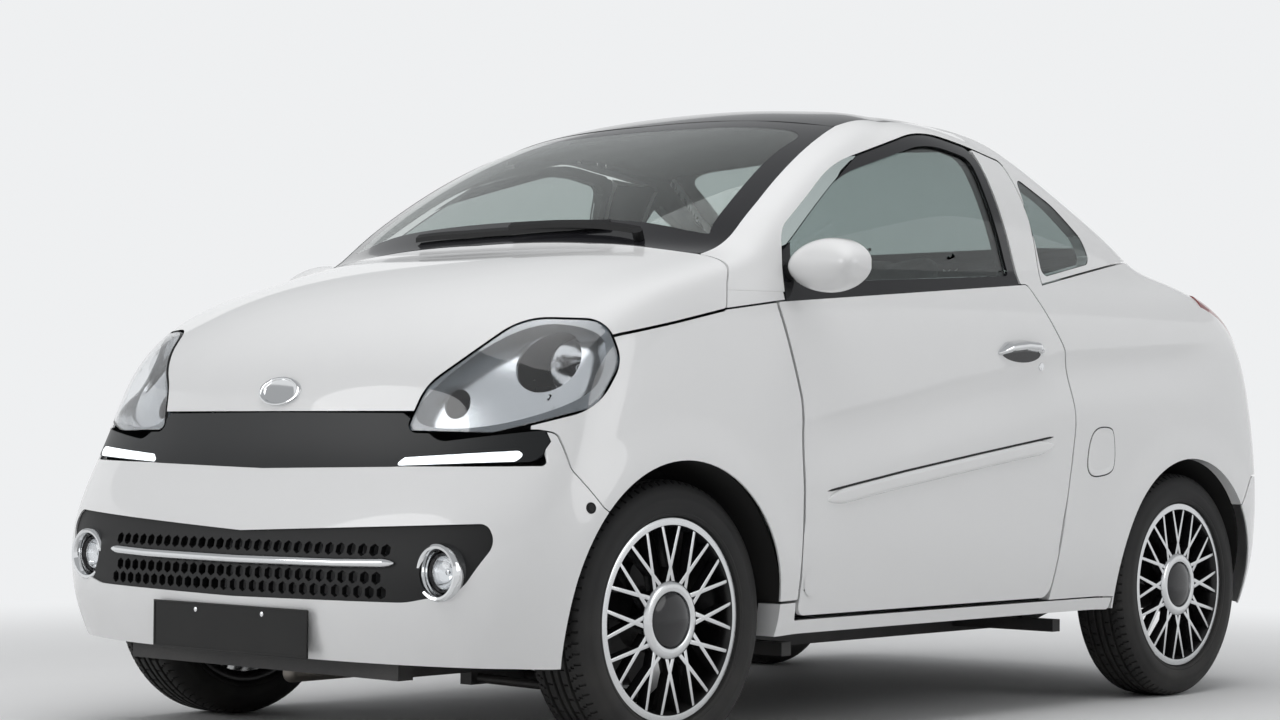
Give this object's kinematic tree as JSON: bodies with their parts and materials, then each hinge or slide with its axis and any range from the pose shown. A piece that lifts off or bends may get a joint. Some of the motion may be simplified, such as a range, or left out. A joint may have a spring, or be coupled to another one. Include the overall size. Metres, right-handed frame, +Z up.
{
  "type": "microcar",
  "caption": "Small closed light car with a sloping nose, opening doors, bonnet and boot lid, steered front wheels and spoked rims.",
  "frame": {"origin": "middle of the bounding box, on the ground under the car", "axes": "-Y is the front, +X the left side, +Z up"},
  "size_m": [1.8018, 3.0435, 1.4504],
  "materials": {
    "paint": "pearl gloss",
    "gloss_black": "gloss",
    "trim_black": "satin",
    "clear_glass": "clear tint",
    "lamp_glass": "clear",
    "lamp_bowl": "bright",
    "red_lamp": "gloss",
    "bright_trim": "polished",
    "plate": "plain",
    "alloy": "machined",
    "tyre": "matt",
    "frame_steel": "satin",
    "suspension_steel": "satin",
    "engine": "cast",
    "exhaust": "dull",
    "cabin_plastic": "grained",
    "seat_cloth": "woven"
  },
  "bodies": {
    "body": {"front_bumper": "paint", "nose_band": "gloss_black", "daylight_lamps": "lamp_glass", "headlamp_lenses": "lamp_glass", "headlamp_units": "lamp_bowl", "fog_lamps": "lamp_bowl", "grille": "trim_black", "grille_bar": "bright_trim", "number_plates": "plate", "front_wings": "paint", "roof_arches": "paint", "roof_panel": "gloss_black", "windscreen": "clear_glass", "rear_window": "clear_glass", "quarter_glass": "clear_glass", "rear_quarters": "paint", "rear_bumper": "paint", "tail_lamps": "red_lamp", "sills": "paint", "chassis_frame": "frame_steel", "floor_pan": "frame_steel", "bulkhead": "frame_steel", "door_hinges": "frame_steel", "wheelhouses": "trim_black", "engine_block": "engine", "front_suspension": "suspension_steel", "front_struts": "suspension_steel", "rear_axle": "suspension_steel", "exhaust": "exhaust", "dashboard": "cabin_plastic", "parcel_shelf": "cabin_plastic", "boot_tub": "frame_steel", "wiper": "trim_black", "seats": "seat_cloth"},
    "hood": {"bonnet": "paint"},
    "boot": {"boot_lid": "paint"},
    "steering": {"steering_wheel": "cabin_plastic"},
    "rack": {"track_rods": "suspension_steel"},
    "door_left": {"door_left": "paint", "door_frame_left": "gloss_black", "door_glass_left": "clear_glass", "door_mirror_left": "paint", "door_handle_left": "paint"},
    "hub_left": {"knuckle_left": "suspension_steel"},
    "wheel_front_left": {"tyre_front_left": "tyre", "rim_front_left": "alloy"},
    "wheel_rear_left": {"tyre_rear_left": "tyre", "rim_rear_left": "alloy"},
    "door_right": {"door_right": "paint", "door_frame_right": "gloss_black", "door_glass_right": "clear_glass", "door_mirror_right": "paint", "door_handle_right": "paint"},
    "hub_right": {"knuckle_right": "suspension_steel"},
    "wheel_front_right": {"tyre_front_right": "tyre", "rim_front_right": "alloy"},
    "wheel_rear_right": {"tyre_rear_right": "tyre", "rim_rear_right": "alloy"}
  },
  "joints": [
    {"name": "hood_hinge", "type": "hinge", "parent": "body", "child": "hood", "pos_m": [0, -0.66, 1.068], "axis": [-1, 0, 0], "range_deg": [0, 50]},
    {"name": "boot_hinge", "type": "hinge", "parent": "body", "child": "boot", "pos_m": [0, 0.85, 1.075], "axis": [1, 0, 0], "range_deg": [0, 70]},
    {"name": "door_left_hinge", "type": "hinge", "parent": "body", "child": "door_left", "pos_m": [0.742, -0.545, 0.6], "axis": [0, 0, -1], "range_deg": [0, 62]},
    {"name": "door_right_hinge", "type": "hinge", "parent": "body", "child": "door_right", "pos_m": [-0.742, -0.545, 0.6], "axis": [0, 0, 1], "range_deg": [0, 62]},
    {"name": "steer_left", "type": "hinge", "parent": "body", "child": "hub_left", "pos_m": [0.622, -0.975, 0.15], "axis": [-0.2462, 0, 0.9692], "range_deg": [-30, 30]},
    {"name": "steer_right", "type": "hinge", "parent": "body", "child": "hub_right", "pos_m": [-0.622, -0.975, 0.15], "axis": [0.2462, 0, 0.9692], "range_deg": [-30, 30]},
    {"name": "rack_slide", "type": "slide", "parent": "body", "child": "rack", "axis": [-1, 0, 0], "range_m": [-0.061, 0.061]},
    {"name": "steering_wheel_turn", "type": "hinge", "parent": "body", "child": "steering", "pos_m": [0.3, -0.4, 0.86], "axis": [0, 0.9135, 0.4067], "range_deg": [-422, 422]},
    {"name": "wheel_front_left_spin", "type": "hinge", "parent": "hub_left", "child": "wheel_front_left", "pos_m": [0.6565, -0.975, 0.2835], "axis": [1, 0, 0], "continuous": true},
    {"name": "wheel_rear_left_spin", "type": "hinge", "parent": "body", "child": "wheel_rear_left", "pos_m": [0.6565, 1.001, 0.2835], "axis": [1, 0, 0], "continuous": true},
    {"name": "wheel_front_right_spin", "type": "hinge", "parent": "hub_right", "child": "wheel_front_right", "pos_m": [-0.6565, -0.975, 0.2835], "axis": [1, 0, 0], "continuous": true},
    {"name": "wheel_rear_right_spin", "type": "hinge", "parent": "body", "child": "wheel_rear_right", "pos_m": [-0.6565, 1.001, 0.2835], "axis": [1, 0, 0], "continuous": true}
  ],
  "couplings": [
    {"joint": "steer_right", "follows": "steer_left", "ratio": 1},
    {"joint": "rack_slide", "follows": "steer_left", "m_per_rad": 0.114},
    {"joint": "steering_wheel_turn", "follows": "steer_left", "ratio": 14}
  ]
}
